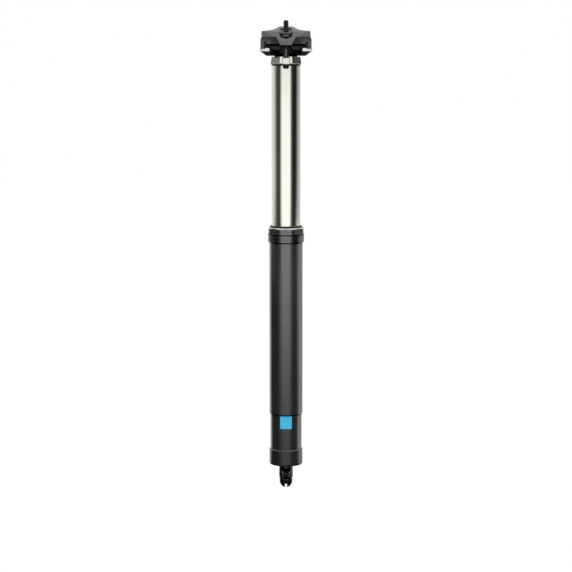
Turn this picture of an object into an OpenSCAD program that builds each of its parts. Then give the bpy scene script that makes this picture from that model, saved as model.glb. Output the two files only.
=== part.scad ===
// Dropper seatpost: a telescoping bicycle seatpost with a two-bolt rail clamp.
// Z runs up the post. The origin is on its axis, at the underside of the seal collar.
// The side at -Y looks to the rear of the bicycle, and X runs across it.

/* [Post] */
// Diameter of the lower tube, which the frame's seat tube holds
tube_d = 31.6; // [30.9:0.1:34.9]
// Length of the lower tube's full diameter below the seal collar
tube_len = 163.6; // [155:0.1:240]
// Diameter of the turned-down end of the lower tube
tube_end_d = 29.9; // [29.4:0.1:30.4]
// Length of the turned-down end that shows above the bottom cap
tube_end_len = 34.3; // [30:0.1:60]
// Radial gap between the sliding tube and the lower tube's bore
tube_gap = 0.3; // [0.3:0.01:0.35]
// Diameter of the sliding tube
stanchion_d = 27; // [26.5:0.1:27.2]
// Wall of the sliding tube
stanchion_wall = 1.9; // [1.7:0.1:2.2]
// Travel of the sliding tube
travel = 150; // [100:1:150]
// Length of the sliding tube that shows at full extension
exposed_len = 150.9; // [150.5:0.1:180]
// Length of the sliding tube below the collar's underside at full extension
overlap_len = 46; // [44:0.5:48]
// Running clearance of bushes, keys and pistons, on the radius
run_fit = 0.05; // [0.03:0.01:0.08]

/* [Seal collar] */
// Diameter of the collar's upper band
collar_d = 34.5; // [34.2:0.1:36]
// Height of the collar
collar_h = 14.2; // [13:0.1:18]
// Height of the collar's lower band
collar_low_h = 7.4; // [6:0.1:9]
// How much smaller the lower band's radius is
collar_step = 0.15; // [0.1:0.05:0.5]
// Number of spanner flats round the upper band
flat_count = 8; // [6:1:8]
// Depth of a spanner flat below the upper band
flat_depth = 0.75; // [0.4:0.05:0.9]
// Diameter of the wiper's lip
wiper_d = 30.3; // [29.6:0.1:31]
// Height of the wiper's lip above the collar
wiper_h = 1.6; // [1:0.1:2.5]

/* [Head] */
// Height of the head's collar round the sliding tube
neck_h = 7.4; // [7:0.1:9]
// Width across the flats at the bottom of the head's collar
neck_d = 28.4; // [28.4:0.1:30]
// Width across the flats at the top of the head's collar
neck_top_d = 26.7; // [26:0.1:28]
// Half width of the cradle's seat in the head
seat_half_w = 12.8; // [12:0.1:12.8]
// Radius of the round seat that the clamp rocks in
rock_r = 18.7; // [18:0.1:19]
// Diameter of the clamp bolts
bolt_d = 4.9; // [4.5:0.1:5]
// Diameter of the bosses that the bolts hang in
boss_d = 8; // [7.5:0.1:9]
// Height of the bosses
boss_h = 6.3; // [5.5:0.1:6.5]
// Diameter of the bolt heads
bolt_head_d = 6.4; // [6.2:0.1:7.5]
// Height of the bolt heads
bolt_head_h = 4.3; // [3.5:0.1:5]
// Length of a clamp bolt above its boss
bolt_reach = 33.8; // [32:0.1:40]

/* [Rail clamp] */
// Diameter of the saddle rails that the clamp takes
rail_d = 7; // [6.8:0.1:7.2]
// Distance between the centres of the two rails
rail_gap = 43; // [42.5:0.1:43.4]
// Width of the cradle over its ends
cradle_w = 48.4; // [48:0.1:50]
// Length of the cradle's rail seats along the rails
seat_len = 35; // [28:0.5:38]
// Depth of a rail seat below its lips
groove_depth = 1.4; // [1:0.1:1.6]
// Height of the cradle's end faces
end_face_h = 3.1; // [2.8:0.1:3.4]
// Width of the upper clamp's plate
plate_w = 45.4; // [44:0.1:46]
// Height of the plate's ends
plate_end_h = 5.3; // [4.8:0.1:6]
// Height of the hump over the bolts above the plate's ends
hump_h = 4.6; // [3.5:0.1:5]
// Length of the plate along the rails, at its middle
plate_len = 52.6; // [52.6:0.1:58]
// Distance from each clamp bolt to the plate's end
bolt_edge = 5.3; // [5:0.1:6]
// Length of the jaws along the rails
jaw_len = 32; // [26:0.5:35]
// Gap between a closed jaw and its rail seat
jaw_gap = 0.3; // [0.25:0.05:0.4]
// Diameter of the barrel nuts
nut_d = 8.2; // [8:0.1:8.3]
// Length of the barrel nuts over their domed ends
nut_len = 13; // [11.5:0.1:13.4]
// Gap round a bolt in its barrel nut, the room that lets the clamp rock
nut_play = 0.6; // [0.6:0.05:0.65]

/* [Cartridge] */
// Diameter of the gas cartridge's body
cart_d = 22.6; // [22:0.1:22.6]
// Bore of the gas cartridge
cart_bore_d = 19.6; // [19:0.1:20.2]
// Diameter of the cartridge's rod
rod_d = 7; // [6.5:0.1:7.5]
// Diameter of the valve pin inside the rod
valve_d = 3; // [2.6:0.1:3.2]

/* [Base and actuator] */
// Height of the bottom cap
cap_h = 15.5; // [14:0.1:20]
// Thickness of the bottom cap's floor
cap_floor = 6.4; // [6:0.1:6.8]
// Radius of the rounded edge under the bottom cap
cap_round = 1.9; // [1:0.1:2.5]
// Diameter of the actuator's housing
act_d = 13.2; // [12.8:0.1:13.6]
// Length of the actuator's housing below the cap
act_len = 22.3; // [22:0.1:24]
// Width of the actuator's window, between its two arms
window_w = 8; // [7.6:0.1:8.4]
// Width of the lever
lever_w = 5.6; // [5:0.1:6.4]
// Height of the lever's pin above the actuator's lower end
lever_up = 14.2; // [13.8:0.1:14.6]
// Diameter of the outer cable's seat in the actuator
housing_seat_d = 5.1; // [5:0.05:5.3]
// Width of the slots that let the cable in
cable_slot_w = 1.9; // [1.7:0.1:2.1]
// Height of the slots that let the cable in
cable_slot_h = 12; // [11:0.1:13]
// Width of the label
label_w = 11; // [9:0.1:13]
// Height of the label
label_h = 12; // [10:0.1:13]
// Distance of the label's middle below the lower tube's step
label_drop = 7.3; // [7:0.1:20]

/* [Hidden] */
$fn = 96;

through = 1;
tube_r = tube_d / 2;
tube_end_r = tube_end_d / 2;
stanchion_r = stanchion_d / 2;
stanchion_bore_r = stanchion_r - stanchion_wall;
bore_r = stanchion_r + tube_gap;

// Heights of the lower post
step_z = -tube_len;
cap_top_z = step_z - tube_end_len;
cap_bottom_z = cap_top_z - cap_h;
floor_z = cap_bottom_z + cap_floor;
act_bottom_z = cap_bottom_z - act_len;
wiper_top_z = collar_h + wiper_h;

// Parts that the collar holds
spigot_h = 8;
spigot_r = tube_r - 0.8;
bush_len = 18;
bush_wall = 1.1;
bush_r = stanchion_r + run_fit + bush_wall;
wiper_seat_z = collar_h - 4;
wiper_seat_r = tube_r - 0.4;

// Keys that stop the sliding tube from turning
key_count = 3;
key_r = 1.3;
key_reach = bore_r + 0.45;
key_len = 12;
key_up = 10;
key_z = -overlap_len + key_up;
key_gap = 2 * run_fit;
guide_len = 8;
guide_wall = 0.55;
bumper_h = 9.5;
rod_nut_h = 5.5;

// Gas cartridge, at full extension
cart_r = cart_d / 2;
cart_bore_r = cart_bore_d / 2;
rod_r = rod_d / 2;
valve_r = valve_d / 2;
clip_h = 1.5;
cart_low_z = -overlap_len + clip_h + 0.5;
cart_top_z = wiper_top_z + exposed_len - 1.7;
gland_h = 14;
end_cap_h = 4;
piston_h = 8;
piston_z = cart_low_z + gland_h + 2;
float_h = 8;
float_z = piston_z + piston_h + travel + 2;
rod_end_z = cap_bottom_z + 4.4;

// Head and clamp
neck_z = wiper_top_z + exposed_len;
neck_top_z = neck_z + neck_h;
socket_top_z = neck_z + 3.8;
boss_top_z = neck_z + 0.4 + boss_h;
boss_low_z = boss_top_z - boss_h;
cradle_low_z = neck_top_z + 0.5;
rock_z = cradle_low_z + rock_r;
rock_gap = 0.05;
seat_half_len = 13.2;
bolt_r = bolt_d / 2;
bolt_y = plate_len / 2 - bolt_edge;
rail_x = rail_gap / 2;
rail_r = rail_d / 2;
cradle_top_z = cradle_low_z + 7.1;
groove_z = cradle_top_z - groove_depth;
rail_rest_z = groove_z + rail_r;
jaw_r = rail_r - jaw_gap;
jaw_tip_z = rail_rest_z - jaw_r;
flute_depth = 0.6;
clamp_lift = 2 * rail_r - (jaw_tip_z + flute_depth - groove_z);
jaw_block_z = cradle_top_z + 3.9;
plate_up = 10.3;
plate_low_z = cradle_top_z + plate_up;
plate_end_z = plate_low_z + plate_end_h;
hump_z = plate_end_z + hump_h;
apron_z = jaw_block_z - 1.3;
close_gap = 0.25;
bridge_z = jaw_block_z - close_gap;
bridge_x = rail_x - rail_r - 0.2;
jaw_heel_z = cradle_top_z + 0.7;
jaw_inner_x = 4.8;
plate_sweep = 5;
hump_top_x = 5.6;
hump_flank_x = 9.6;
hump_foot_x = 11.6;
wing_start_x = 14.4;
apron_top_x = 9.3;
apron_low_x = 5.2;
roof_drop = 8.4;
roof_end_h = 4.8;
jaw_relief = 7;
lip_x = rail_x - 1.2;
wing_taper = 6;
wing_side_h = 4.5;
well_w = 14;
well_len = 2 * (seat_half_len + 0.5);
well_h = 8;
arm_root_y = 8.6;
arm_root_h = 8;
boss_half_w = 3.5;
boss_corner = 0.9;
nut_r = nut_d / 2;
nut_gap = 0.1;
nut_barrel_r = 60;
slot_play = 1.5;

// Actuator
lever_y = -2.4;
lever_z = act_bottom_z + lever_up;
lever_pin_r = 1;
nose_y = 3;
nose_z = 2.6;
nose_r = 0.8;
grip_y = 2.9;
grip_z = 0.9;
grip_r = 1.7;
valve_low_z = lever_z + nose_z + nose_r + 0.1;
valve_bore_len = rod_end_z - valve_low_z + 3;
window_top_z = cap_bottom_z - 3.2;
window_up = 9.4;
window_low_z = act_bottom_z + window_up;
waist_top_h = 9.6;
waist_h = 8;
window_back_y = 3.6;
slot_through_h = 1.7;

module ring(z, h, r_out, r_in) {
    translate([0, 0, z]) difference() {
        cylinder(h = h, r = r_out);
        translate([0, 0, -through]) cylinder(h = h + 2 * through, r = r_in);
    }
}

// Every copy round the post's axis starts at -Y
module round_the_post(count) {
    for (i = [0 : count - 1]) rotate([0, 0, -90 + i * 360 / count]) children();
}

// A bar along X whose outline is drawn in Y and Z
module across(width) {
    rotate([90, 0, 90]) linear_extrude(height = width, center = true) children();
}

// A bar along Y whose outline is drawn in X and Z
module along(length) {
    rotate([90, 0, 0]) linear_extrude(height = length, center = true) children();
}

// Lower post

module outer_tube() color("#2b2b2c") difference() {
    rotate_extrude() polygon([
        [bore_r, floor_z], [tube_end_r - 0.4, floor_z], [tube_end_r, floor_z + 0.4],
        [tube_end_r, step_z - 0.5], [tube_r, step_z], [tube_r, 0], [spigot_r, 0],
        [spigot_r, spigot_h], [bush_r, spigot_h], [bush_r, spigot_h - bush_len],
        [bore_r, spigot_h - bush_len]]);
    round_the_post(key_count)
        translate([key_reach - key_r, 0, floor_z - through])
            cylinder(h = spigot_h - bush_len - floor_z + through, r = key_r + key_gap, $fn = 32);
}

module seal_collar() color("#303032") difference() {
    rotate_extrude() polygon([
        [tube_r - 0.8, 0], [collar_d / 2 - collar_step - 0.5, 0],
        [collar_d / 2 - collar_step, 0.5],
        [collar_d / 2 - collar_step, collar_low_h - 0.4],
        [collar_d / 2 - collar_step - 0.35, collar_low_h],
        [collar_d / 2, collar_low_h + 0.4], [collar_d / 2, collar_h - 1.2],
        [collar_d / 2 - 1.2, collar_h], [wiper_seat_r, collar_h], [wiper_seat_r, wiper_seat_z],
        [bush_r, wiper_seat_z], [bush_r, spigot_h], [spigot_r, spigot_h]]);
    round_the_post(flat_count)
        translate([collar_d / 2 - flat_depth, -tube_r / 2, collar_low_h + 0.8])
            cube([flat_depth + through, tube_r, collar_h]);
}

module wiper_seal() color("#141414") rotate_extrude() polygon([
    [stanchion_r + run_fit, wiper_top_z - 0.4], [stanchion_r + 0.5, wiper_top_z],
    [wiper_d / 2 - 0.5, wiper_top_z], [wiper_d / 2, wiper_top_z - 0.5],
    [wiper_d / 2 - 0.3, collar_h], [wiper_seat_r, collar_h - 0.4], [wiper_seat_r, wiper_seat_z],
    [stanchion_r + 0.5, wiper_seat_z], [stanchion_r + run_fit, wiper_seat_z + 1]]);

module upper_bushing() color("#8a6f4a")
    ring(spigot_h - bush_len, bush_len, bush_r, stanchion_r + run_fit);

module bottom_cap() color("#262627") difference() {
    rotate_extrude() union() {
        polygon([
            [0, cap_bottom_z], [tube_r - cap_round, cap_bottom_z],
            [tube_r, cap_bottom_z + cap_round], [tube_r, cap_top_z - 0.5],
            [tube_r - 0.5, cap_top_z], [tube_end_r, cap_top_z], [tube_end_r, floor_z],
            [0, floor_z]]);
        translate([tube_r - cap_round, cap_bottom_z + cap_round]) intersection() {
            circle(r = cap_round);
            translate([0, -cap_round]) square(cap_round);
        }
    }
    translate([0, 0, cap_bottom_z - through])
        cylinder(h = rod_end_z - cap_bottom_z + through, r = rod_r + 1.5);
    translate([0, 0, rod_end_z - through]) cylinder(h = cap_floor, r = rod_r);
}

module bottom_bumper() color("#5b2b20")
    ring(floor_z, bumper_h, stanchion_bore_r + 0.9, rod_r + 4.4);

module rod_nut() color("#9a9a98") translate([0, 0, floor_z]) difference() {
    cylinder(h = rod_nut_h, r = rod_r + 3.3, $fn = 6);
    translate([0, 0, -through]) cylinder(h = rod_nut_h + 2 * through, r = rod_r);
}

module cartridge_rod() color("#c4c4c0")
    ring(rod_end_z, piston_z - rod_end_z, rod_r, valve_r + run_fit);

module rod_piston() color("#b08d4c") difference() {
    rotate_extrude() polygon([
        [0, piston_z], [cart_bore_r - run_fit - 0.6, piston_z],
        [cart_bore_r - run_fit, piston_z + 0.6],
        [cart_bore_r - run_fit, piston_z + piston_h - 0.6],
        [cart_bore_r - run_fit - 0.6, piston_z + piston_h], [0, piston_z + piston_h]]);
    translate([0, 0, piston_z - through]) cylinder(h = 4, r = valve_r + run_fit);
}

module label_film() color("#40b0f1") intersection() {
    ring(step_z - label_drop - label_h / 2, label_h, tube_end_r + 0.1, tube_end_r);
    translate([0, -tube_r, step_z - label_drop]) cube([label_w, tube_d, label_h + 0.2], center = true);
}

// The housing hangs under the cap on a threaded neck. Its window holds the lever,
// and the outer cable butts into the seat at its lower end.
module actuator_housing() color("#1c1c1c") difference() {
    rotate_extrude() polygon([
        [0, rod_end_z], [rod_r + 1.5, rod_end_z], [rod_r + 1.5, cap_bottom_z],
        [act_d / 2, cap_bottom_z], [act_d / 2, act_bottom_z + waist_top_h],
        [act_d / 2 - 0.6, act_bottom_z + waist_top_h - 0.7], [act_d / 2 - 0.6, act_bottom_z + waist_h],
        [act_d / 2 - 0.4, act_bottom_z + 7.4], [act_d / 2 - 0.7, act_bottom_z + 4],
        [act_d / 2 - 1.6, act_bottom_z + 2], [act_d / 2 - 3, act_bottom_z + 0.5],
        [act_d / 2 - 3.6, act_bottom_z], [0, act_bottom_z]]);
    translate([0, 0, valve_low_z - through])
        cylinder(h = valve_bore_len + through, r = valve_r + run_fit);
    translate([0, window_back_y - act_d, 0]) along(2 * act_d) {
        translate([-window_w / 2, window_low_z + 2])
            square([window_w, window_top_z - window_low_z - 4]);
        translate([-window_w / 2 + 2, window_low_z])
            square([window_w - 4, window_top_z - window_low_z]);
        for (x = [-1, 1], z = [window_low_z + 2, window_top_z - 2])
            translate([x * (window_w / 2 - 2), z]) circle(r = 2, $fn = 32);
    }
    translate([0, lever_y, lever_z]) rotate([0, 90, 0])
        cylinder(h = act_d + 2, r = lever_pin_r, center = true, $fn = 32);
    translate([0, 0, act_bottom_z - through])
        cylinder(h = 6.7 + through, r = housing_seat_d / 2, $fn = 48);
    translate([0, 0, act_bottom_z]) cylinder(h = cable_slot_h, r = cable_slot_w / 2, $fn = 24);
    translate([-cable_slot_w / 2, -act_d, act_bottom_z - through])
        cube([cable_slot_w, 2 * act_d, slot_through_h + through]);
    translate([-cable_slot_w / 2, -act_d, act_bottom_z]) cube([cable_slot_w, act_d, cable_slot_h]);
}

module lever_pin() color("#b5b5b2") translate([0, lever_y, lever_z]) rotate([0, 90, 0])
    cylinder(h = act_d - 1.4, r = lever_pin_r, center = true, $fn = 32);

module actuator_lever() color("#3a3a3b") translate([0, lever_y, lever_z]) difference() {
    union() {
        across(lever_w) circle(r = 2.1, $fn = 40);
        across(lever_w) translate([-grip_y, -grip_z]) circle(r = grip_r, $fn = 40);
        across(lever_w) polygon([
            [-grip_y, grip_r - grip_z - 0.1], [0.3, 1.9], [0.3, -1.9],
            [-grip_y, 0.1 - grip_r - grip_z]]);
        across(lever_w) translate([nose_y, nose_z]) circle(r = nose_r, $fn = 24);
        across(lever_w) polygon([
            [-0.9, 1.5], [nose_y - 0.4, nose_z + 0.5], [nose_y + 0.5, nose_z - 0.4],
            [1.5, -0.9]]);
    }
    rotate([0, 90, 0])
        cylinder(h = lever_w + 2, r = lever_pin_r + run_fit, center = true, $fn = 32);
    translate([0, -grip_y, -grip_z]) rotate([0, 90, 0])
        cylinder(h = lever_w + 2, r = grip_r - 0.7, center = true, $fn = 24);
    translate([-cable_slot_w / 2, -grip_y - 2, -grip_z - 3]) cube([cable_slot_w, 2.4, 3]);
}

module valve_pin() color("#c9c9c4")
    translate([0, 0, valve_low_z]) cylinder(h = piston_z - valve_low_z - 2, r = valve_r);

// Sliding post

module stanchion() color("#b9bcb0") difference() {
    rotate_extrude() polygon([
        [stanchion_bore_r, -overlap_len], [stanchion_r - guide_wall, -overlap_len],
        [stanchion_r - guide_wall, -overlap_len + guide_len],
        [stanchion_r, -overlap_len + guide_len], [stanchion_r, socket_top_z - 0.5],
        [stanchion_r - 0.5, socket_top_z], [stanchion_bore_r, socket_top_z]]);
    round_the_post(key_count)
        translate([key_reach - key_r, 0, key_z])
            cylinder(h = key_len, r = key_r, $fn = 32);
}

module guide_bush() color("#a88b5e")
    ring(-overlap_len, guide_len, bore_r - run_fit, stanchion_r - guide_wall);

module key_pins() color("#c9a24d")
    round_the_post(key_count)
        translate([key_reach - key_r, 0, key_z])
            cylinder(h = key_len, r = key_r, $fn = 32);

module cartridge_body() color("#8f9094")
    ring(cart_low_z, cart_top_z - cart_low_z, cart_r, cart_bore_r);

module cartridge_gland() color("#4a4d52")
    ring(cart_low_z, gland_h, cart_bore_r, rod_r + run_fit);

module cartridge_end_cap() color("#4a4d52")
    translate([0, 0, cart_top_z - end_cap_h]) cylinder(h = end_cap_h, r = cart_bore_r);

module retaining_clip() color("#77787a") difference() {
    ring(cart_low_z - clip_h, clip_h, stanchion_bore_r, cart_bore_r - 1);
    translate([-2, 0, cart_low_z - 2 * clip_h]) cube([4, cart_r + 2, 3 * clip_h]);
}

module floating_piston() color("#b08d4c") difference() {
    translate([0, 0, float_z]) cylinder(h = float_h, r = cart_bore_r - run_fit);
    translate([0, 0, float_z + 3]) cylinder(h = float_h, r = cart_bore_r - 3);
}

// Two opposite flats of the head's eight-sided collar
module neck_flats() along(2 * neck_d) for (s = [-1, 1]) polygon([
    [0, neck_z], [s * (neck_d / 2 - 0.3), neck_z], [s * (neck_d / 2 + 0.15), neck_z + 0.5],
    [s * neck_d / 2, neck_z + 1.1], [s * neck_top_d / 2, neck_top_z - 0.3],
    [0, neck_top_z - 0.3]]);

// Outline of a boss, seen from above, with its flat face at the end
module boss_outline() {
    translate([-boss_half_w, 0]) square([2 * boss_half_w, bolt_y + boss_d / 2 - boss_corner]);
    translate([boss_corner - boss_half_w, 0])
        square([2 * (boss_half_w - boss_corner), bolt_y + boss_d / 2]);
    for (t = [-1, 1]) translate([t * (boss_half_w - boss_corner), bolt_y + boss_d / 2 - boss_corner])
        circle(r = boss_corner, $fn = 32);
}

// Forged head: an eight-sided collar round the tube, a round seat across it for the cradle,
// and a boss at each end for a clamp bolt.
module post_head() color("#b9bcb0") difference() {
    union() {
        intersection() {
            neck_flats();
            rotate([0, 0, 45]) neck_flats();
            rotate([0, 0, 90]) neck_flats();
            rotate([0, 0, 135]) neck_flats();
        }
        intersection() {
            across(2 * seat_half_w) polygon([
                [-seat_half_len, cradle_low_z + 6], [-seat_half_len, cradle_low_z + 5.2],
                [-arm_root_y, neck_top_z - 0.4], [-arm_root_y, socket_top_z + 1],
                [arm_root_y, socket_top_z + 1], [arm_root_y, neck_top_z - 0.4],
                [seat_half_len, cradle_low_z + 5.2], [seat_half_len, cradle_low_z + 6]]);
            along(3 * seat_half_len) polygon([
                [4 - neck_top_d / 2, neck_top_z - 2], [neck_top_d / 2 - 4, neck_top_z - 2],
                [seat_half_w, cradle_low_z + 3], [seat_half_w, cradle_low_z + arm_root_h],
                [-seat_half_w, cradle_low_z + arm_root_h], [-seat_half_w, cradle_low_z + 3]]);
        }
        for (a = [0, 180]) rotate([0, 0, a]) translate([0, 0, boss_low_z])
            linear_extrude(height = boss_h) boss_outline();
    }
    translate([0, 0, neck_z - through])
        cylinder(h = socket_top_z - neck_z + through, r = stanchion_r);
    translate([0, 0, rock_z]) rotate([0, 90, 0])
        cylinder(h = 2 * cradle_w, r = rock_r + rock_gap, center = true, $fn = 160);
    for (s = [-1, 1]) {
        translate([0, s * bolt_y, boss_low_z - through])
            cylinder(h = boss_h + 2 * through, r = bolt_r + 0.05);
        translate([0, s * (seat_half_len + 1.8), cradle_low_z + 5]) rotate([90, 0, 0])
            cylinder(h = 7.5, r = 6.5, center = true);
    }
}

module clamp_bolt() {
    rotate_extrude() polygon([
        [0, boss_low_z - bolt_head_h], [bolt_head_d / 2 - 1.1, boss_low_z - bolt_head_h],
        [bolt_head_d / 2 - 0.5, boss_low_z - bolt_head_h + 0.7],
        [bolt_head_d / 2, boss_low_z - 0.6], [bolt_head_d / 2, boss_low_z],
        [bolt_r, boss_low_z], [bolt_r, boss_top_z + bolt_reach - 0.8],
        [bolt_r - 0.8, boss_top_z + bolt_reach], [0, boss_top_z + bolt_reach]]);
}

module hex_socket() translate([0, 0, boss_low_z - bolt_head_h - through])
    cylinder(h = 2.4 + through, r = 4 / sqrt(3), $fn = 6);

module rear_bolt() color("#161616") translate([0, -bolt_y, 0]) difference() {
    clamp_bolt();
    hex_socket();
}

module front_bolt() color("#161616") translate([0, bolt_y, 0]) difference() {
    clamp_bolt();
    hex_socket();
}

// Clamp

// The cradle rocks in the head's seat, and its two wings carry the rails.
module lower_cradle() color("#242424") difference() {
    union() {
        intersection() {
            translate([0, 0, rock_z]) rotate([0, 90, 0])
                cylinder(h = cradle_w, r = rock_r, center = true, $fn = 160);
            translate([-seat_half_w - 1, -seat_half_len, cradle_low_z - 1])
                cube([2 * seat_half_w + 2, 2 * seat_half_len, cradle_top_z - cradle_low_z + 1]);
        }
        for (s = [-1, 1]) intersection() {
            along(seat_len) polygon([
                [s * (seat_half_w + 0.4), cradle_low_z],
                [s * (cradle_w / 2 - wing_taper), cradle_low_z],
                [s * cradle_w / 2, cradle_low_z + wing_side_h], [s * cradle_w / 2, cradle_top_z],
                [s * (seat_half_w + 0.4), cradle_top_z]]);
            across(cradle_w) polygon([
                [-seat_len / 2, cradle_top_z], [-seat_len / 2, cradle_top_z - end_face_h],
                [-seat_len / 2 + 7, cradle_low_z], [seat_len / 2 - 7, cradle_low_z],
                [seat_len / 2, cradle_top_z - end_face_h], [seat_len / 2, cradle_top_z]]);
        }
        translate([-bridge_x, -seat_half_len, cradle_top_z - 1])
            cube([2 * bridge_x, 2 * seat_half_len, bridge_z - cradle_top_z + 1]);
    }
    for (s = [-1, 1]) {
        translate([s * rail_x, 0, rail_rest_z]) rotate([90, 0, 0])
            cylinder(h = seat_len + 2, r = rail_r, center = true);
        translate([0, s * seat_half_len, cradle_low_z + 4.5]) rotate([90, 0, 0])
            cylinder(h = 6, r = 5.5, center = true);
    }
}

// Front outline of the upper clamp's plate, seen along the rails
module plate_outline() {
    for (s = [-1, 1]) polygon([
        [0, hump_z], [s * hump_top_x, hump_z], [s * (hump_top_x + 1.3), hump_z - 0.5],
        [s * hump_flank_x, hump_z - 2.1], [s * hump_foot_x, plate_end_z + 1.5],
        [s * wing_start_x, plate_end_z + 0.9],
        [s * (plate_w / 2 - 0.5), plate_end_z], [s * plate_w / 2, plate_end_z - 0.6],
        [s * (plate_w / 2 - 0.1), plate_low_z], [s * apron_top_x, plate_low_z], [s * apron_low_x, apron_z],
        [0, apron_z]]);
}

// Side outline of the plate: a low roof with steep ends
module plate_roof() {
    for (s = [-1, 1]) polygon([
        [0, hump_z], [s * 4, hump_z], [s * (plate_len / 2 - 3.4), hump_z - roof_drop + 3.4],
        [s * (plate_len / 2 - 1.5), hump_z - roof_drop],
        [s * plate_len / 2, apron_z + roof_end_h],
        [s * plate_len / 2, apron_z], [0, apron_z]]);
}

// A barrel nut's outside, or its pocket with a gap round it: slightly barrelled, with domed ends
module nut_form(gap) rotate([0, 90, 0]) rotate_extrude() intersection() {
    translate([nut_r + gap - nut_barrel_r, 0]) circle(r = nut_barrel_r, $fn = 360);
    circle(r = nut_len / 2 + gap);
    translate([0, -nut_len]) square(2 * nut_len);
}

module upper_clamp() color("#6c6c6d") difference() {
    union() {
        intersection() {
            along(plate_len) plate_outline();
            across(plate_w) plate_roof();
            linear_extrude(height = 2 * hump_z) polygon([for (s = [-1, 1], p = [
                [plate_w / 2, s * (plate_len / 2 - plate_sweep)], [9.4, s * plate_len / 2],
                [-9.4, s * plate_len / 2], [-plate_w / 2, s * (plate_len / 2 - plate_sweep)]])
                [s * p[0], p[1]]]);
        }
        for (s = [-1, 1]) along(jaw_len) {
            polygon([
                [s * jaw_inner_x, plate_low_z + 0.5], [s * jaw_inner_x, jaw_block_z],
                [s * (bridge_x + close_gap), jaw_block_z], [s * (bridge_x + close_gap), jaw_heel_z],
                [s * rail_x, jaw_heel_z], [s * rail_x, rail_rest_z],
                [s * (cradle_w / 2 - 0.5), rail_rest_z],
                [s * (cradle_w / 2 - 0.5), plate_low_z - 2],
                [s * (plate_w / 2 - 0.2), plate_low_z + 0.5]]);
            intersection() {
                translate([s * rail_x, rail_rest_z]) circle(r = jaw_r);
                square([cradle_w - 1, 2 * (rail_rest_z + 1)], center = true);
            }
        }
    }
    for (s = [-1, 1]) {
        translate([s * rail_x, 0, jaw_tip_z + flute_depth - rail_r]) rotate([90, 0, 0])
            cylinder(h = jaw_len + 2, r = rail_r, center = true);
        for (t = [-1, 1])
            translate([s * (lip_x + rail_x - rail_r) / 2, t * jaw_len / 2, rail_rest_z])
                cube([lip_x - rail_x + rail_r, 2 * jaw_relief, 2 * jaw_r + 1], center = true);
        translate([0, s * bolt_y, rock_z]) nut_form(nut_gap);
        translate([0, s * bolt_y, apron_z - through]) linear_extrude(height = bolt_reach) {
            square([bolt_d + 0.7, 2 * slot_play], center = true);
            for (t = [-1, 1]) translate([0, t * slot_play]) circle(r = bolt_r + 0.35, $fn = 40);
        }
    }
    translate([-well_w / 2, -well_len / 2, apron_z - through]) cube([well_w, well_len, well_h]);
}

module barrel_nut() difference() {
    nut_form(0);
    cylinder(h = 2 * nut_d, r = bolt_r + nut_play, center = true);
}

module rear_barrel_nut() color("#5e5e5e") translate([0, -bolt_y, rock_z]) barrel_nut();

module front_barrel_nut() color("#5e5e5e") translate([0, bolt_y, rock_z]) barrel_nut();

outer_tube();
seal_collar();
wiper_seal();
upper_bushing();
bottom_cap();
bottom_bumper();
rod_nut();
cartridge_rod();
rod_piston();
actuator_housing();
lever_pin();
label_film();
actuator_lever();
valve_pin();
stanchion();
guide_bush();
key_pins();
cartridge_body();
cartridge_gland();
cartridge_end_cap();
retaining_clip();
floating_piston();
post_head();
rear_bolt();
front_bolt();
lower_cradle();
upper_clamp();
rear_barrel_nut();
front_barrel_nut();
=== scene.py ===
import math

import bmesh
import bpy
from mathutils import Matrix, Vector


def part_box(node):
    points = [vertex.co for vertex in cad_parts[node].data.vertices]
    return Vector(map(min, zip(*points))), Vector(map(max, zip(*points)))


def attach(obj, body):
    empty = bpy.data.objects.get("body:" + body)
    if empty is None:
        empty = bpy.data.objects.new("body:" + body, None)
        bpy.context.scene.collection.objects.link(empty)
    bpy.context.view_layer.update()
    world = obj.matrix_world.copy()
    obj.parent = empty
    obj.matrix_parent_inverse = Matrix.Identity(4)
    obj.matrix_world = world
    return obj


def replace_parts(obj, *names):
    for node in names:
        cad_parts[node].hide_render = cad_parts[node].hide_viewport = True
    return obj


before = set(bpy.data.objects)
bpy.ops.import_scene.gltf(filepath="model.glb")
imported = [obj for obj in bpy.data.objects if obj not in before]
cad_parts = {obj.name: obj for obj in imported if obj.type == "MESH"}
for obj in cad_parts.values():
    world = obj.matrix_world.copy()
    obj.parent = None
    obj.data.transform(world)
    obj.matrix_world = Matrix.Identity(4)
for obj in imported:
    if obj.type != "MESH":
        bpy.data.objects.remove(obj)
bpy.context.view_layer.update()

# ---- Lower tube ----------------------------------------------------------------------------
# The tube that the bicycle's frame holds: drawn aluminium, its lower end turned down.
# It is blasted finely and anodised satin black, so it shows soft bands and no grain.

BLAST_GRAIN_MM = 0.3  # real blasting is finer; this is as coarse as shows
EVEN = (1, 1, 1)
NOISE_DETAIL = 3.0
CLOUDS_PER_M = 60.0
WEAR_SPAN = (0.75, 1.25)  # of the two noises' sum, where most of it lies
UNDERCUT = (("Z", "over", 0.1636), ("Z", "under", 0.1649))  # metres, as in every mask below
TOP_EDGE_Z = 0.0007


def linear(code):
    """An sRGB hex colour as the linear colour that a socket takes."""
    parts = [int(code[i : i + 2], 16) / 255 for i in (1, 3, 5)]
    return [c / 12.92 if c <= 0.04045 else ((c + 0.055) / 1.055) ** 2.4 for c in parts] + [1]


def add(tree, kind, inputs=None, **settings):
    """Adds one node with its settings; an input is a constant or another node's socket."""
    made = tree.nodes.new(kind)
    for name, value in settings.items():
        setattr(made, name, value)
    for name, value in (inputs or {}).items():
        if isinstance(value, bpy.types.NodeSocket):
            tree.links.new(value, made.inputs[name])
        else:
            made.inputs[name].default_value = value
    return made


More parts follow.
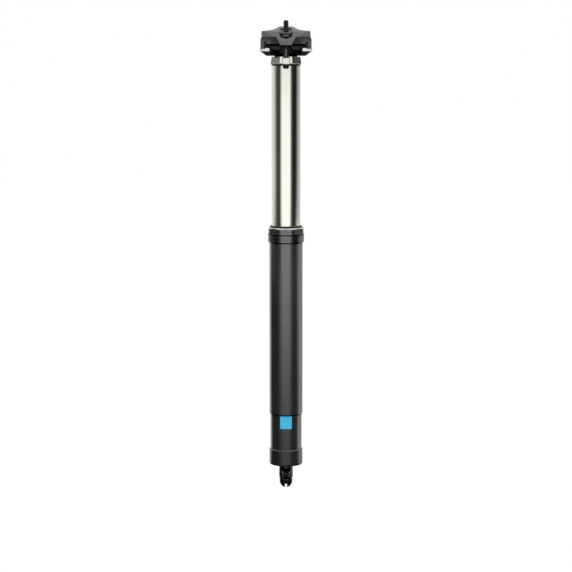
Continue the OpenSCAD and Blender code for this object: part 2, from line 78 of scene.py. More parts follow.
def finish(name, colours, rough, grain_mm, drawn_out=EVEN, relief_mm=0.002, **constants):
    """A finish whose colour, roughness and relief follow one grain, grain_mm wide and drawn
    out along the axes where drawn_out is small, and a cloud of handling marks over it."""
    material = bpy.data.materials.new(name)
    material.use_nodes = True
    tree = material.node_tree
    tree.nodes.clear()
    place = add(tree, "ShaderNodeTexCoord").outputs["Object"]
    across = add(tree, "ShaderNodeMapping", {
        "Vector": place, "Scale": [share * 1000 / grain_mm for share in drawn_out]})
    grain = add(tree, "ShaderNodeTexNoise", {
        "Vector": across.outputs[0], "Scale": 1.0, "Detail": NOISE_DETAIL})
    cloud = add(tree, "ShaderNodeTexNoise", {
        "Vector": place, "Scale": CLOUDS_PER_M, "Detail": NOISE_DETAIL})
    wear = add(tree, "ShaderNodeMath", {0: grain.outputs[0], 1: cloud.outputs[0]},
               operation="ADD")
    worn = add(tree, "ShaderNodeMapRange", {
        "Value": wear.outputs[0], "From Min": WEAR_SPAN[0], "From Max": WEAR_SPAN[1]})
    spread = add(tree, "ShaderNodeMapRange", {
        "Value": worn.outputs[0], "To Min": rough[0], "To Max": rough[1]})
    shade = add(tree, "ShaderNodeMix", {
        0: worn.outputs[0], 6: linear(colours[0]), 7: linear(colours[1])}, data_type="RGBA")
    relief = add(tree, "ShaderNodeBump", {
        "Height": grain.outputs[0], "Strength": 1.0, "Distance": relief_mm / 1000})
    shader = add(tree, "ShaderNodeBsdfPrincipled", {
        "Base Color": shade.outputs[2], "Roughness": spread.outputs[0],
        "Normal": relief.outputs[0], **constants})
    add(tree, "ShaderNodeOutputMaterial", {"Surface": shader.outputs[0]})
    return material


def dress(material, *names):
    """Gives CAD nodes their finish."""
    for name in names:
        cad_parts[name].material_slots[0].material = material


def two_tone_and_painted_light(material, past, colour, metallic):
    """Gives the surface another colour and metallic level where past is 1, for a second finish
    and for painted light and shade: past(tree) is a socket, from Object coordinates."""
    tree = material.node_tree
    shader = next(n for n in tree.nodes if n.type == "BSDF_PRINCIPLED")
    coat = shader.inputs["Base Color"].links[0].from_socket
    share = past(tree)
    shade = add(tree, "ShaderNodeMix", {0: share, 6: coat, 7: linear(colour)},
                data_type="RGBA")
    tree.links.new(shade.outputs[2], shader.inputs["Base Color"])
    body = add(tree, "ShaderNodeMapRange", {
        "Value": share, "To Min": shader.inputs["Metallic"].default_value, "To Max": metallic})
    tree.links.new(body.outputs[0], shader.inputs["Metallic"])


def where(*tests, soft=0.0001):
    """1 where every test holds: (axis, side, edge), on the distance from the middle in metres.
    The share changes over the soft width."""
    def share(tree):
        place = add(tree, "ShaderNodeTexCoord").outputs["Object"]
        size = add(tree, "ShaderNodeVectorMath", {0: place}, operation="ABSOLUTE").outputs[0]
        ways = add(tree, "ShaderNodeSeparateXYZ", {0: size}).outputs
        held = None
        for axis, side, edge in tests:
            ends = (0.0, 1.0) if side == "over" else (1.0, 0.0)
            test = add(tree, "ShaderNodeMapRange", {
                "Value": ways["XYZ".index(axis)], "From Min": edge - soft / 2,
                "From Max": edge + soft / 2, "To Min": ends[0], "To Max": ends[1]}).outputs[0]
            held = test if held is None else add(tree, "ShaderNodeMath", {
                0: held, 1: test}, operation="MULTIPLY").outputs[0]
        return held
    return share


# Satin black anodised aluminium, bead blasted: dark metal with a soft, even sheen.
satin_black_anodise = finish(
    "satin_black_anodised_aluminium", ("#6f6f6e", "#757574"), (0.11, 0.14),
    BLAST_GRAIN_MM, EVEN, 0.0006, Metallic=0.88)
# The undercut below the shoulder and the edge under the collar are coloured darker: painted
# shade.
two_tone_and_painted_light(satin_black_anodise, where(*UNDERCUT), "#1d1d1c", 1.0)
two_tone_and_painted_light(satin_black_anodise, where(("Z", "under", TOP_EDGE_Z)), "#101010", 1.0)
dress(satin_black_anodise, "outer_tube")

# ---- Bottom cap, with the nut and the bumper on its floor ----------------------------------
# The cap closes the lower tube and carries the cartridge's rod. It is turned from bar, so
# fine rings run round it. The nut is zinc-plated steel and the bumper moulded rubber.

TOOL_RING_MM = 0.25
ROUND_THE_POST = (0.004, 0.004, 1)

# Turned, then anodised black: rings from the tool under a satin coat.
turned_black_anodise = finish(
    "turned_black_anodised_aluminium", ("#686868", "#6f6f6f"), (0.2, 0.24),
    TOOL_RING_MM, ROUND_THE_POST, 0.0015, Metallic=0.9)
# Zinc plate on steel: bright, slightly blue, a little cloudy.
zinc_plate = finish(
    "zinc_plated_steel", ("#b4b6b8", "#c6c7c7"), (0.25, 0.4), 0.4, Metallic=1.0)
# Moulded polyurethane rubber: matt brown red.
bumper_rubber = finish(
    "moulded_brown_rubber", ("#5b2b20", "#6a3427"), (0.6, 0.75), 0.3)
dress(turned_black_anodise, "bottom_cap")
dress(zinc_plate, "rod_nut")
dress(bumper_rubber, "bottom_bumper")

# ---- Actuator: housing, lever and pivot pin ------------------------------------------------
# Milled from black anodised bar. The outer cable butts into its lower end, and the inner
# cable's end sits in the blackened steel lever, which turns on a stainless pin.

# Small milled parts are dyed deeper and left glossier than the tubes.
gloss_black_anodise = finish(
    "gloss_black_anodised_aluminium", ("#606060", "#6a6a6a"), (0.12, 0.18),
    0.2, ROUND_THE_POST, 0.003, Metallic=1.0)
# Blackened steel: thin oxide over a tumbled surface.
blackened_steel = finish(
    "blackened_steel", ("#39393a", "#4a4a4b"), (0.3, 0.45), 0.25, Metallic=1.0)
# Ground stainless pin.
ground_stainless = finish(
    "ground_stainless_steel", ("#b9b9b6", "#c9c9c6"), (0.15, 0.25), 0.15, (1, 1, 0.02),
    0.001, Metallic=1.0)
dress(gloss_black_anodise, "actuator_housing")
dress(blackened_steel, "actuator_lever")
dress(ground_stainless, "lever_pin")

# ---- Rod, its piston and the valve pin -----------------------------------------------------
# The cartridge's hollow rod is hard-chromed steel. Its piston is turned brass, and the pin
# inside, which the lever lifts to open the valve, is ground steel.

# Hard chrome, ground and polished: a near mirror.
hard_chrome = finish(
    "hard_chromed_steel", ("#d3d3cf", "#dededa"), (0.05, 0.1), 0.15, (1, 1, 0.05), 0.0005,
    Metallic=1.0)
# Turned brass with tool rings.
turned_brass = finish(
    "turned_brass", ("#c29a4e", "#d1aa5f"), (0.2, 0.32), TOOL_RING_MM, ROUND_THE_POST, 0.004,
    Metallic=1.0)
dress(hard_chrome, "cartridge_rod")
dress(turned_brass, "rod_piston", "floating_piston")
dress(ground_stainless, "valve_pin")

# ---- Seal collar, wiper and upper bush -----------------------------------------------------
# The collar screws over the top of the lower tube. It holds the rubber wiper and the long
# bush that the sliding tube runs in, and a spanner turns it by its eight flats.

CHAMFER_Z = 0.0131
GROOVE = (("Z", "over", 0.0069), ("Z", "under", 0.0079))
LOW_EDGE_Z = 0.0006

# Turned and milled, then anodised: a shade lighter than the tube.
collar_anodise = finish(
    "turned_black_anodised_collar", ("#6c6c6a", "#747472"), (0.12, 0.16),
    TOOL_RING_MM, ROUND_THE_POST, 0.001, Metallic=1.0)
# Nitrile rubber: deep black, its lip slightly oily.
wiper_rubber = finish(
    "oiled_nitrile_rubber", ("#101010", "#171717"), (0.3, 0.45), 0.25)
# Polymer bush with bronze filler.
bush_polymer = finish(
    "bronze_filled_polymer", ("#8f6b3f", "#a37c4c"), (0.4, 0.55), 0.3)
# The chamfer at its top is turned through the black layer and coloured bright, partly a
# painted highlight. The groove and the lower edge close to the tube are coloured dark: painted
# shade.
two_tone_and_painted_light(collar_anodise, where(("Z", "over", CHAMFER_Z)), "#cdcdcb", 1.0)
two_tone_and_painted_light(collar_anodise, where(*GROOVE), "#2c2c2c", 1.0)
two_tone_and_painted_light(collar_anodise, where(("Z", "under", LOW_EDGE_Z)), "#101010", 1.0)
dress(collar_anodise, "seal_collar")
dress(wiper_rubber, "wiper_seal")
dress(bush_polymer, "upper_bushing", "guide_bush")

# ---- Label ---------------------------------------------------------------------------------
# A small square of blue vinyl film on the turned-down end of the lower tube, left blank.

# Printed vinyl under a clear gloss layer.
blue_vinyl = finish(
    "blue_vinyl_film", ("#3ccbff", "#46d0ff"), (0.3, 0.38), 0.3, EVEN, 0.001,
    **{"Coat Weight": 0.3, "Coat Roughness": 0.1})
dress(blue_vinyl, "label_film")

# ---- Sliding tube and its keys -------------------------------------------------------------
# Drawn aluminium, centreless ground, polished and hard anodised almost clear, so it mirrors
# the studio in long bands. Three brass keys in its lower end stop it from turning.

# Hard anodising leaves polished aluminium slightly green and softens its mirror.
polished_anodise = finish(
    "polished_hard_anodised_aluminium", ("#fafbee", "#fdfdf3"), (0.1, 0.125),
    0.2, (1, 1, 0.01), 0.0004, Metallic=1.0)
dress(polished_anodise, "stanchion")
dress(turned_brass, "key_pins")

# ---- Gas cartridge -------------------------------------------------------------------------
# A sealed aluminium cylinder inside the sliding tube, clear anodised, with a grey gland and
# end cap. A split steel ring holds it in.

# Clear anodised aluminium tube with drawn lines.
clear_anodise = finish(
    "clear_anodised_aluminium", ("#94959a", "#a3a4a8"), (0.25, 0.35), 0.25, (1, 1, 0.02),
    0.002, Metallic=1.0)
# Grey anodised, turned.
grey_anodise = finish(
    "grey_anodised_aluminium", ("#54585e", "#62666b"), (0.3, 0.4), TOOL_RING_MM,
    ROUND_THE_POST, 0.004, Metallic=1.0)
# Oil-blacked spring steel.
spring_steel = finish(
    "oiled_spring_steel", ("#6b6c6e", "#808183"), (0.3, 0.4), 0.2, Metallic=1.0)
dress(clear_anodise, "cartridge_body")
dress(grey_anodise, "cartridge_gland", "cartridge_end_cap")
dress(spring_steel, "retaining_clip")

# ---- Head ----------------------------------------------------------------------------------
# A hollow forging pressed onto the sliding tube: an eight-sided collar, a round seat for the
# cradle and a boss at each end for a clamp bolt. The collar and bosses are polished and
# anodised clear with the tube. The seat above them is coloured near black: painted shade.

SEAT_FROM_Z = 0.17385  # the collar's top
LUG_TOP = (("Z", "over", 0.1726), ("X", "under", 0.0036), ("Y", "over", 0.0142))
RIM = (("Z", "under", 0.16785), ("Y", "under", 0.0146))
FOOT_DARK_Z = 0.1671
TUBE_TOP_DARK_Z = 0.1654
SEAT_PAINTED_SHADE = "#232322"
FOOT_DARK_GREY = "#1b1b1a"

polished_with_painted_shade = finish(
    "polished_forging_with_painted_shade", ("#f3f4e8", "#fafbf0"), (0.1, 0.125), 0.3, EVEN,
    0.0006, Metallic=1.0)
# Painted shade: the seat above the collar and the bosses' tops are coloured near black, where
# the cradle shades them.
two_tone_and_painted_light(polished_with_painted_shade, where(("Z", "over", SEAT_FROM_Z)), SEAT_PAINTED_SHADE, 1.0)
two_tone_and_painted_light(polished_with_painted_shade, where(*LUG_TOP), SEAT_PAINTED_SHADE, 1.0)
# The lower rim is coloured duller, and the foot of the head and the top of the tube under it
# darker, in a band where the two meet.
two_tone_and_painted_light(polished_with_painted_shade, where(*RIM), "#8e8e86", 1.0)
two_tone_and_painted_light(polished_with_painted_shade, where(("Z", "under", FOOT_DARK_Z)), FOOT_DARK_GREY, 0.5)
two_tone_and_painted_light(polished_anodise, where(("Z", "over", TUBE_TOP_DARK_Z)), FOOT_DARK_GREY, 0.5)
dress(polished_with_painted_shade, "post_head")

# ---- Clamp bolts ---------------------------------------------------------------------------
# Steel cap screws that hang in the head's bosses, turned from bar with a hexagon socket
# below. Their M5 threads are rolled, and reach up through the clamp.

BOLT_SIDES = 48
BOLT_R = 2.45  # all in mm, from here to the thread's depth
BOLT_HEAD = ((2.1, 0), (2.7, 0.7), (3.2, 3.7), (3.2, 4.3), (BOLT_R, 4.3))
SOCKET_ACROSS = 4
SOCKET_DEPTH = 2.4
THREAD_LEN = 26
THREAD_PITCH = 0.8
THREAD_DEPTH = 0.24
THREAD_RUN_OUT = 1.5
RING_STEP = 0.1
TIP_CHAMFER = 0.8
VALLEY_SPAN = (0.12, 0.85)  # of half a pitch: below it the crest, above it the root
BOLT_CREASE = 40  # degrees
SHANK = (("Z", "over", 0.1738), ("Z", "under", 0.1805))

# Black oxide on steel, lightly oiled.
black_oxide = finish(
    "black_oxide_steel", ("#303031", "#454546"), (0.2, 0.35), 0.2, EVEN, 0.001, Metallic=1.0)
# The shank is ground below the thread and shows greyer.
two_tone_and_painted_light(black_oxide, where(*SHANK), "#626262", 1.0)


def turned_blank(length):
    """The bolt before its thread is rolled: head down, standing on z = 0, one closed skin."""
    def hexagon(turn):
        return SOCKET_ACROSS / 2 / math.cos((turn + math.pi / 6) % (math.pi / 3) - math.pi / 6)

    rings = [(hexagon, SOCKET_DEPTH), (hexagon, 0)]
    rings += [(lambda turn, r=r: r, z) for r, z in BOLT_HEAD]
    steps = round(THREAD_LEN / RING_STEP)
    for i in range(steps + 1):
        z = length - THREAD_LEN + i * RING_STEP
        r = min(BOLT_R, BOLT_R - TIP_CHAMFER + length - z)
        rings.append((lambda turn, r=r: r, z))
    mesh = bmesh.new()
    loops = []
    for radius, z in rings:
        turns = [2 * math.pi * i / BOLT_SIDES for i in range(BOLT_SIDES)]
        loops.append([mesh.verts.new((radius(a) * math.cos(a) / 1000,
                                      radius(a) * math.sin(a) / 1000, z / 1000))
                      for a in turns])
    for lower, upper in zip(loops, loops[1:]):
        for i in range(BOLT_SIDES):
            j = (i + 1) % BOLT_SIDES
            mesh.faces.new((lower[i], lower[j], upper[j], upper[i]))
    mesh.faces.new(loops[0])
    mesh.faces.new(loops[-1])
    bmesh.ops.recalc_face_normals(mesh, faces=mesh.faces)
    blank = bpy.data.meshes.new("bolt_blank")
    mesh.to_mesh(blank)
    return blank


def rolled_thread():
    """Geometry Nodes that press a helical groove into the skin above Start."""
    tree = bpy.data.node_groups.new("rolled_thread", "GeometryNodeTree")
    face = tree.interface
    face.new_socket("Geometry", in_out="INPUT", socket_type="NodeSocketGeometry")
    for name in ("Start", "Pitch", "Depth", "Run-out"):
        face.new_socket(name, in_out="INPUT", socket_type="NodeSocketFloat")
    face.new_socket("Finish", in_out="INPUT", socket_type="NodeSocketMaterial")
    face.new_socket("Geometry", in_out="OUTPUT", socket_type="NodeSocketGeometry")
    given = add(tree, "NodeGroupInput").outputs

    def maths(operation, *values):
        made = add(tree, "ShaderNodeMath", dict(enumerate(values)), operation=operation)
        return made.outputs[0]

    place = add(tree, "GeometryNodeInputPosition").outputs[0]
    x, y, z = add(tree, "ShaderNodeSeparateXYZ", {0: place}).outputs
    turns = maths("DIVIDE", maths("ARCTAN2", y, x), 2 * math.pi)
    phase = maths("FRACT", maths("SUBTRACT", maths("DIVIDE", z, given["Pitch"]), turns))
    valley = maths("ABSOLUTE", maths("SUBTRACT", maths("MULTIPLY", phase, 2.0), 1.0))
    valley = add(tree, "ShaderNodeMapRange", {
        "Value": valley, "From Min": VALLEY_SPAN[0], "From Max": VALLEY_SPAN[1]}).outputs[0]
    above = maths("SUBTRACT", z, given["Start"])
    fade = add(tree, "ShaderNodeMapRange", {
        "Value": above, "From Max": given["Run-out"]}).outputs[0]
    cut = maths("MULTIPLY", maths("MULTIPLY", valley, fade), given["Depth"])
    radius = maths("SQRT", maths("ADD", maths("MULTIPLY", x, x), maths("MULTIPLY", y, y)))
    share = maths("SUBTRACT", 1.0, maths("DIVIDE", cut, radius))
    pressed = add(tree, "ShaderNodeCombineXYZ", {
        0: maths("MULTIPLY", x, share), 1: maths("MULTIPLY", y, share), 2: z}).outputs[0]
    moved = add(tree, "GeometryNodeSetPosition", {
        "Geometry": given["Geometry"], "Selection": maths("GREATER_THAN", above, 0.0),
        "Position": pressed}).outputs[0]
    real = add(tree, "GeometryNodeRealizeInstances", {0: moved}).outputs[0]
    done = add(tree, "GeometryNodeSetMaterial", {
        "Geometry": real, "Material": given["Finish"]}).outputs[0]
    add(tree, "NodeGroupOutput", {"Geometry": done})
    return tree


def plain_mesh(made, name, crease):
    """The modified object's result as a plain mesh piece, smooth but for edges over crease."""
    bpy.context.view_layer.update()
    ready = made.evaluated_get(bpy.context.evaluated_depsgraph_get())
    mesh = bpy.data.meshes.new_from_object(ready)
    bpy.data.objects.remove(made)
    mesh.name = name
    mesh.shade_smooth()
    mesh.set_sharp_from_angle(angle=math.radians(crease))
    piece = bpy.data.objects.new(name, mesh)
    bpy.context.scene.collection.objects.link(piece)
    return piece


thread = rolled_thread()
for node in ("rear_bolt", "front_bolt"):
    low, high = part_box(node)
    length = (high.z - low.z) * 1000
    blank = bpy.data.objects.new("blank", turned_blank(length))
    bpy.context.scene.collection.objects.link(blank)
    roll = blank.modifiers.new("thread", "NODES")
    roll.node_group = thread
    sizes = {"Start": (length - THREAD_LEN) / 1000, "Pitch": THREAD_PITCH / 1000,
             "Depth": THREAD_DEPTH / 1000, "Run-out": THREAD_RUN_OUT / 1000,
             "Finish": black_oxide}
    for item in thread.interface.items_tree:
        if item.in_out == "INPUT" and item.name in sizes:
            roll[item.identifier] = sizes[item.name]
    bolt = plain_mesh(blank, node + "_threaded", BOLT_CREASE)
    foot = ((low.x + high.x) / 2, (low.y + high.y) / 2, low.z)
    bolt.data.transform(Matrix.Translation(foot))
    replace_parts(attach(bolt, "upper_post"), node)

# ---- Cradle --------------------------------------------------------------------------------
# A forging that rocks in the head's seat, tumbled so its edges are round, then anodised
# black. Its two rail seats' machined end faces are coloured near white: painted highlight.

FORGED_GRAIN_MM = 0.4
VOXEL = 0.0004  # about the edge radius that tumbling leaves
TUMBLE_STEPS = 4
FORGED_CREASE = 60  # degrees
WELD = 1e-6
ENDS_PAINTED_HIGHLIGHT = (("X", "over", 0.0155), ("Y", "over", 0.0172), ("Z", "over", 0.1784))
CRADLE_TOP_Z = 0.1834
SEATS_Z = 0.1785  # below the rail seats
JAW_IN_X = 0.0195
LIFT = 0.0002


def forged(node, body, material, cutters=(), lift=0.0):
    """A copy of a CAD node with its edges rounded, as a tumbled forging has them, after the
    cutters. Faces above SEATS_Z are lifted, to close up to the piece over them."""
    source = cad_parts[node].data.copy()
    skin = bmesh.new()
    skin.from_mesh(source)
    bmesh.ops.remove_doubles(skin, verts=skin.verts, dist=WELD)
    skin.to_mesh(source)
    rough_out = bpy.data.objects.new("rough", source)
    bpy.context.scene.collection.objects.link(rough_out)
    for cutter in cutters:
        cut = rough_out.modifiers.new("cut", "BOOLEAN")
        cut.operation, cut.solver, cut.object = "DIFFERENCE", "EXACT", cutter
    even = rough_out.modifiers.new("even", "REMESH")
    even.mode, even.voxel_size = "VOXEL", VOXEL
    tumble = rough_out.modifiers.new("tumble", "SMOOTH")
    tumble.factor, tumble.iterations = 0.5, TUMBLE_STEPS
    piece = plain_mesh(rough_out, node + "_forged", FORGED_CREASE)
    for cutter in cutters:
        bpy.data.objects.remove(cutter)
    if lift:
        near = [v for v in piece.data.vertices if v.co.z > SEATS_Z]
        moves = [(v, max(v.normal.z, 0), v.normal.x if abs(v.co.x) < JAW_IN_X else 0)
                 for v in near]
        for vertex, up, out in moves:
            vertex.co.z += up * lift
            vertex.co.x += out * lift
    piece.data.materials.clear()
    piece.data.materials.append(material)
    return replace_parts(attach(piece, body), node)


# Black anodised forging, fairly matt.
cradle_anodise = finish(
    "black_anodised_forging", ("#2c2c2c", "#363636"), (0.3, 0.4), FORGED_GRAIN_MM, EVEN,
    0.003, Metallic=1.0)
# The machined end faces are coloured near white, a painted highlight: a mask takes the wings'
# two ends. The top, which the clamp covers, is coloured near black: painted shade.
two_tone_and_painted_light(cradle_anodise, where(*ENDS_PAINTED_HIGHLIGHT), "#f4f5ee", 0.0)
two_tone_and_painted_light(cradle_anodise, where(("Z", "over", CRADLE_TOP_Z)), "#080808", 1.0)
forged("lower_cradle", "cradle", cradle_anodise, lift=LIFT)

# ---- Upper clamp and barrel nuts -----------------------------------------------------------
# The gull-winged plate that presses on the saddle's rails: a forging, blasted and anodised
# dark grey. The barrel nuts lie across it in windows and are phosphated steel.

FLANKS = (("Y", "under", 0.0168), ("Z", "under", 0.1917))
UNDER = (FLANKS[0], ("Z", "under", 0.1896))
OUTER_UNDER = (*UNDER, ("X", "over", 0.0146))
LENS_HALF_W = 5.9  # all in mm, from here to how far the bores' painted shade runs out and down
LENS_SAG = 2.6
LENS_Z = 193.0
LENS_DEPTH = 6.5
LENS_STEPS = 12
PLATE_FRONT = 26.4
BORE_Y = 15.4
BORE_R = 5.9
BORE_SIDES = 48
BORE_FLOOR_Z = 198.4
BORE_TOP_Z = 204
SHADE_OUT = 0.1
SHADE_DOWN = 0.3
NUT_ENDS = (("X", "over", 0.0028), ("Z", "under", 0.195))
NUT_LINE = (("Z", "over", 0.194), ("Z", "under", 0.195))
NUT_UNDER_Z = 0.1918

blasted_grey_anodise = finish(
    "blasted_grey_anodised_forging", ("#6e6e6e", "#787878"), (0.45, 0.55), BLAST_GRAIN_MM,
    EVEN, 0.004, Metallic=0.35)
# The jaws' flanks under the plate are coloured darker and more metallic, their lower parts
# darker still, apart from their outer edges: painted shade under the plate.
two_tone_and_painted_light(blasted_grey_anodise, where(*FLANKS, soft=0.0008), "#49494a", 0.9)
two_tone_and_painted_light(blasted_grey_anodise, where(*UNDER, soft=0.0016), "#3a3a3a", 0.9)
two_tone_and_painted_light(blasted_grey_anodise, where(*OUTER_UNDER, soft=0.003), "#6a6a6a", 0.6)


def in_bores(tree):
    """1 inside the two counterbores, walls and floors."""
    place = add(tree, "ShaderNodeTexCoord").outputs["Object"]
    for operation, by in (("ABSOLUTE", (0, 0, 0)), ("SUBTRACT", (0, BORE_Y / 1000, 0)),
                          ("MULTIPLY", (1, 1, 0))):
        place = add(tree, "ShaderNodeVectorMath", {0: place, 1: by},
                    operation=operation).outputs[0]
    reach = add(tree, "ShaderNodeVectorMath", {0: place}, operation="LENGTH").outputs["Value"]
    near = add(tree, "ShaderNodeMath", {0: reach, 1: (BORE_R + SHADE_OUT) / 1000},
               operation="LESS_THAN").outputs[0]
    high = where(("Z", "over", (BORE_FLOOR_Z - SHADE_DOWN) / 1000))(tree)
    return add(tree, "ShaderNodeMath", {0: near, 1: high}, operation="MULTIPLY").outputs[0]


def prism(outline, low, high, upright):
    """A closed cutter with an outline in mm, standing upright or lying along y."""
    mesh = bmesh.new()
    ends = []
    for level in (low, high):
        ends.append([mesh.verts.new((a / 1000, b / 1000, level / 1000) if upright else
                                    (a / 1000, level / 1000, b / 1000)) for a, b in outline])
    mesh.faces.new(ends[0])
    mesh.faces.new(ends[1])
    for i in range(len(outline)):
        j = (i + 1) % len(outline)
        mesh.faces.new((ends[0][i], ends[0][j], ends[1][j], ends[1][i]))
    bmesh.ops.recalc_face_normals(mesh, faces=mesh.faces)
    skin = bpy.data.meshes.new("cutter")
    mesh.to_mesh(skin)
    made = bpy.data.objects.new("cutter", skin)
    bpy.context.scene.collection.objects.link(made)
    return made


# Milled after forging: a lens-shaped window deeper than each nut, and a round counterbore
# where each bolt comes up through the slope, coloured near black as painted shade.
lens_r = (LENS_HALF_W ** 2 + LENS_SAG ** 2) / (2 * LENS_SAG)
swing = math.asin(LENS_HALF_W / lens_r)
lens = [(lens_r * math.sin(swing * k / LENS_STEPS),
         LENS_Z + lens_r - LENS_SAG - lens_r * math.cos(swing * k / LENS_STEPS))
        for k in range(-LENS_STEPS, LENS_STEPS + 1)]
circle = [(BORE_R * math.cos(2 * math.pi * k / BORE_SIDES),
           BORE_R * math.sin(2 * math.pi * k / BORE_SIDES)) for k in range(BORE_SIDES)]
cutters = []
for end in (-1, 1):
    cutters.append(prism(lens, end * PLATE_FRONT, end * (PLATE_FRONT - LENS_DEPTH), False))
    ring = [(a, b + end * BORE_Y) for a, b in circle]
    cutters.append(prism(ring, BORE_FLOOR_Z, BORE_TOP_Z, True))
# Painted shade: the counterbores' walls and floors are coloured near black.
two_tone_and_painted_light(blasted_grey_anodise, in_bores, "#1c1c1c", 1.0)
forged("upper_clamp", "clamp_top", blasted_grey_anodise, cutters)

# Phosphated steel, greyer than the bolts.
phosphated_steel = finish(
    "phosphated_steel", ("#5c5c5d", "#686869"), (0.3, 0.4), 0.25, EVEN, 0.002, Metallic=1.0)
# Its ends, its underside and a line under the window's lip are coloured near black: painted
# shade.
two_tone_and_painted_light(phosphated_steel, where(*NUT_ENDS), "#262626", 1.0)
two_tone_and_painted_light(phosphated_steel, where(*NUT_LINE), "#141414", 1.0)
two_tone_and_painted_light(phosphated_steel, where(("Z", "under", NUT_UNDER_Z)), "#0c0c0c", 1.0)
dress(phosphated_steel, "rear_barrel_nut", "front_barrel_nut")

# ---- Studio --------------------------------------------------------------------------------
# The post hangs upright over a pale floor before a white background. Graded black scrims,
# a round wall and one on the floor, put the dark bands on the polished parts. The camera
# doesn't see them.

CAMERA_AT = (0, -1.748, 0.1727)  # metres, behind the bicycle
CAMERA_LENS = 116.9  # mm
CAMERA_DOWN = 7  # degrees below the horizon
FLOOR_Z = -0.34
FLOOR_HALF = 6.0
FLOOR_GLOW = 0.35
ROOM_LIGHT = 0.85
SCRIM_R = 2.7
SCRIM_H = 1.3
SCRIM_SIDES = 96
LOW_WALL_H = 0.1
WALL_OFF_FLOOR = 0.01
FLAG_OFF_FLOOR = 0.002
# How much light the scrims let through: by degrees round the post from the camera's side,
# by height in metres on the wall, and by metres from the post on the floor.
WALL_ROUND = ((-180, 0.7), (-130, 0.72), (-104, 0.5), (-82, 0.1), (-60, 0.03), (-48, 0.1),
              (-36, 0.8), (-28, 1), (28, 1), (34, 0.75), (45, 0.08), (62, 0.01), (86, 0.015),
              (106, 0.25), (122, 0.47), (140, 0.42), (160, 0.7), (180, 0.7))
LOW_ROUND = ((-180, 0.9), (-150, 1), (-130, 0.95), (-118, 0.1), (-104, 0.04), (-46, 0.02),
             (-38, 0.12), (-25, 1), (22, 1), (33, 0.35), (41, 0.05), (74, 0.03), (82, 0.3),
             (96, 0.85), (118, 1), (134, 0.75), (148, 0.6), (180, 0.9))
FLOOR_ROUND = ((-180, 0.9), (-150, 1), (-130, 0.95), (-118, 0.05), (-104, 0), (-62, 0),
               (-47, 0.22), (-34, 0.6), (-18, 1), (18, 1), (33, 0.55), (46, 0.07), (74, 0.03),
               (82, 0.3), (96, 0.85), (118, 1), (134, 0.75), (148, 0.6), (180, 0.9))
WALL_UP = ((-0.1, 1), (0.06, 1), (0.18, 0.75), (0.6, 0.75))
FLOOR_OUT = ((0, 0.04), (0.6, 0.18), (1.0, 0.36), (1.9, 0.75), (2.7, 1))
# Behind the post the cloth opens by these degrees, from these metres out.
OPEN_ANGLE = (80.0, 105.0)
OPEN_REACH = (0.3, 0.6)


def graded(tree, value, stops):
    """A level by straight steps between stops, along value."""
    low, high = stops[0][0], stops[-1][0]
    share = add(tree, "ShaderNodeMapRange", {
        "Value": value, "From Min": float(low), "From Max": float(high)})
    ramp = add(tree, "ShaderNodeValToRGB", {"Fac": share.outputs[0]})
    while len(ramp.color_ramp.elements) < len(stops):
        ramp.color_ramp.elements.new(0.5)
    for element, (at, level) in zip(ramp.color_ramp.elements, stops):
        element.position = (at - low) / (high - low)
        element.color = (level, level, level, 1)
    return ramp.outputs[0]


def scrim(name, around, own_way, stops):
    """Black cloth that lets light through by around, and by stops along its own way."""
    material = bpy.data.materials.new(name)
    material.use_nodes = True
    tree = material.node_tree
    tree.nodes.clear()
    place = add(tree, "ShaderNodeTexCoord").outputs["Object"]
    x, y, z = add(tree, "ShaderNodeSeparateXYZ", {0: place}).outputs
    front = add(tree, "ShaderNodeMath", {0: y, 1: -1.0}, operation="MULTIPLY").outputs[0]
    angle = add(tree, "ShaderNodeMath", {0: x, 1: front}, operation="ARCTAN2").outputs[0]
    degrees = add(tree, "ShaderNodeMath", {0: angle}, operation="DEGREES").outputs[0]
    flat = add(tree, "ShaderNodeVectorMath", {0: place, 1: (1, 1, 0)}, operation="MULTIPLY")
    reach = add(tree, "ShaderNodeVectorMath", {0: flat.outputs[0]}, operation="LENGTH")
    own = z if own_way == "height" else reach.outputs["Value"]
    aside = add(tree, "ShaderNodeMath", {0: degrees}, operation="ABSOLUTE").outputs[0]
    behind = add(tree, "ShaderNodeMapRange", {
        "Value": aside, "From Min": OPEN_ANGLE[0], "From Max": OPEN_ANGLE[1]}).outputs[0]
    out = add(tree, "ShaderNodeMapRange", {
        "Value": reach.outputs["Value"], "From Min": OPEN_REACH[0],
        "From Max": OPEN_REACH[1]}).outputs[0]
    open_side = add(tree, "ShaderNodeMath", {0: behind, 1: out},
                    operation="MULTIPLY").outputs[0]
    own_share = add(tree, "ShaderNodeMath", {0: graded(tree, own, stops), 1: open_side},
                    operation="MAXIMUM").outputs[0]
    level = add(tree, "ShaderNodeMath", {0: graded(tree, degrees, around), 1: own_share},
                operation="MULTIPLY").outputs[0]
    black = add(tree, "ShaderNodeBsdfDiffuse", {"Color": linear("#000000")})
    clear = add(tree, "ShaderNodeBsdfTransparent")
    cloth = add(tree, "ShaderNodeMixShader", {
        0: level, 1: black.outputs[0], 2: clear.outputs[0]})
    add(tree, "ShaderNodeOutputMaterial", {"Surface": cloth.outputs[0]})
    return material


def stage_piece(name, mesh, material):
    """Puts a mesh in the studio, apart from the part itself."""
    made = bpy.data.objects.new(name, mesh)
    bpy.context.scene.collection.objects.link(made)
    mesh.materials.append(material)
    return made


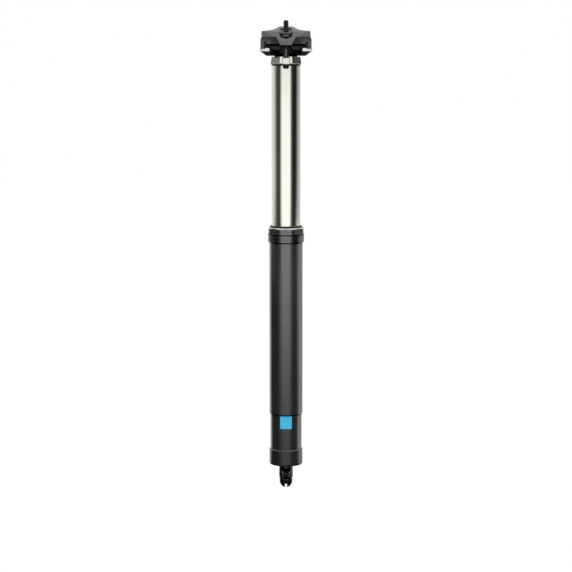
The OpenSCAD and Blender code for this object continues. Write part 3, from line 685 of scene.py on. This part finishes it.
def wall_scrim(name, low, high, material):
    """A round wall of cloth from low to high, open above and below."""
    wall = bmesh.new()
    for z in (low, high):
        bmesh.ops.create_circle(wall, cap_ends=False, radius=SCRIM_R, segments=SCRIM_SIDES,
                                matrix=Matrix.Translation((0, 0, z)))
    bmesh.ops.bridge_loops(wall, edges=wall.edges[:])
    mesh = bpy.data.meshes.new(name)
    wall.to_mesh(mesh)
    return stage_piece(name, mesh, material)


low_wall = wall_scrim("low_wall", FLOOR_Z + WALL_OFF_FLOOR, FLOOR_Z + LOW_WALL_H, scrim(
    "low_wall_scrim", LOW_ROUND, "height", WALL_UP))
high_wall = wall_scrim("high_wall", FLOOR_Z + LOW_WALL_H, FLOOR_Z + SCRIM_H, scrim(
    "high_wall_scrim", WALL_ROUND, "height", WALL_UP))

flag = bmesh.new()
bmesh.ops.create_circle(flag, cap_ends=True, radius=SCRIM_R, segments=SCRIM_SIDES,
                        matrix=Matrix.Translation((0, 0, FLOOR_Z + FLAG_OFF_FLOOR)))
flag_mesh = bpy.data.meshes.new("floor_flag")
flag.to_mesh(flag_mesh)
floor_flag = stage_piece("floor_flag", flag_mesh, scrim(
    "floor_scrim", FLOOR_ROUND, "reach", FLOOR_OUT))
for cloth in (low_wall, high_wall, floor_flag):
    cloth.visible_camera = False
    cloth.visible_diffuse = False
    cloth.visible_shadow = False


def meant_white(tree, **settings):
    """1 for the rays that should find the studio white: the camera's, glossy, transmitted."""
    rays = add(tree, "ShaderNodeLightPath").outputs
    pair = add(tree, "ShaderNodeMath", {0: rays["Is Camera Ray"], 1: rays["Is Glossy Ray"]},
               operation="ADD").outputs[0]
    return add(tree, "ShaderNodeMath", {0: pair, 1: rays["Is Transmission Ray"]},
               operation="ADD", **settings).outputs[0]


floor_mesh = bpy.data.meshes.new("floor")
corners = [(x * FLOOR_HALF, y * FLOOR_HALF, FLOOR_Z)
           for x, y in ((-1, -1), (1, -1), (1, 1), (-1, 1))]
floor_mesh.from_pydata(corners, [], [(0, 1, 2, 3)])
floor_white = bpy.data.materials.new("white_floor")
floor_white.use_nodes = True
tree = floor_white.node_tree
tree.nodes.clear()
lift = add(tree, "ShaderNodeMath", {0: meant_white(tree), 1: FLOOR_GLOW},
           operation="MULTIPLY")
glow = add(tree, "ShaderNodeEmission", {"Strength": lift.outputs[0]})
paint = add(tree, "ShaderNodeBsdfDiffuse", {"Color": linear("#e6e6e6")})
both = add(tree, "ShaderNodeAddShader", {0: paint.outputs[0], 1: glow.outputs[0]})
add(tree, "ShaderNodeOutputMaterial", {"Surface": both.outputs[0]})
stage_piece("floor", floor_mesh, floor_white)

world = bpy.data.worlds.new("white_studio")
world.use_nodes = True
tree = world.node_tree
tree.nodes.clear()
level = add(tree, "ShaderNodeMapRange", {
    "Value": meant_white(tree, use_clamp=True), "To Min": ROOM_LIGHT, "To Max": 1.0})
sky = add(tree, "ShaderNodeBackground", {
    "Color": linear("#ffffff"), "Strength": level.outputs[0]})
add(tree, "ShaderNodeOutputWorld", {"Surface": sky.outputs[0]})
bpy.context.scene.world = world

camera_data = bpy.data.cameras.new("camera")
camera_data.lens = CAMERA_LENS
camera = bpy.data.objects.new("camera", camera_data)
camera.location = CAMERA_AT
camera.rotation_euler = (math.radians(90 - CAMERA_DOWN), 0, 0)
bpy.context.scene.collection.objects.link(camera)
bpy.context.scene.camera = camera
bpy.context.scene.view_settings.view_transform = "Standard"
